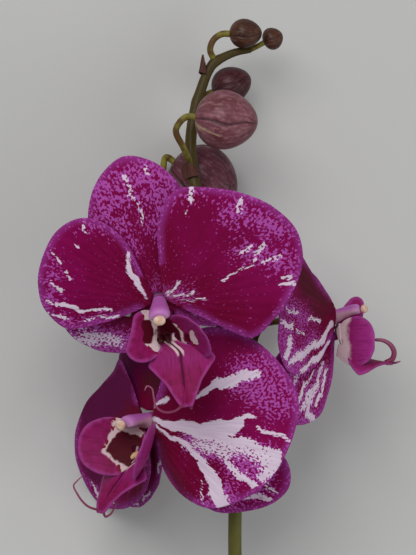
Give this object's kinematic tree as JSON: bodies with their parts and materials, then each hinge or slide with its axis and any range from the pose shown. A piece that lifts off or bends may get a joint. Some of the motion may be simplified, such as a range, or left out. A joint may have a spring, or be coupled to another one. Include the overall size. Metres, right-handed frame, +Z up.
{
  "type": "moth orchid stem",
  "caption": "Cut moth orchid spike with open magenta blooms, closed buds and a bare green stem, lying on its side.",
  "frame": {"origin": "centre of the bounding box at its lowest level, on the surface the spray lies on", "axes": "+Y along the stem from its cut end to its tip, +Z up, the blooms look up"},
  "size_m": [0.1412, 0.2772, 0.1036],
  "materials": {
    "stem": "satin waxy green skin",
    "stalk": "satin waxy yellow-green skin",
    "bract": "matt dry scale",
    "dry_sheath": "matt dry sheath",
    "petal": "soft satin flower tissue",
    "sepal": "soft satin flower tissue",
    "lip": "waxy flower tissue",
    "column": "waxy flower tissue",
    "anther_cap": "waxy cream cap",
    "bud": "satin mauve-brown skin",
    "young_bud": "satin dark maroon skin"
  },
  "bodies": {
    "root": {"bract_bud_1": "bract", "bract_bud_2": "bract", "bract_bud_3": "bract", "bract_bud_4": "bract", "bract_front": "bract", "bract_left": "bract", "bract_right": "bract", "bud_1": "bud", "bud_2": "bud", "bud_3": "bud", "bud_4": "young_bud", "bud_5": "young_bud", "front_anther_cap": "anther_cap", "front_column": "column", "front_lip": "lip", "front_petal_left": "petal", "front_petal_right": "petal", "front_sepal_left": "sepal", "front_sepal_right": "sepal", "front_sepal_top": "sepal", "left_anther_cap": "anther_cap", "left_column": "column", "left_lip": "lip", "left_petal_left": "petal", "left_petal_right": "petal", "left_sepal_left": "sepal", "left_sepal_right": "sepal", "left_sepal_top": "sepal", "right_anther_cap": "anther_cap", "right_column": "column", "right_lip": "lip", "right_petal_left": "petal", "right_petal_right": "petal", "right_sepal_left": "sepal", "right_sepal_right": "sepal", "right_sepal_top": "sepal", "sheath_1": "dry_sheath", "sheath_2": "dry_sheath", "stalk_bud_1": "stalk", "stalk_bud_2": "stalk", "stalk_bud_3": "stalk", "stalk_bud_4": "stalk", "stalk_bud_5": "stalk", "stalk_front": "stalk", "stalk_left": "stalk", "stalk_right": "stalk", "stem": "stem"}
  },
  "joints": []
}
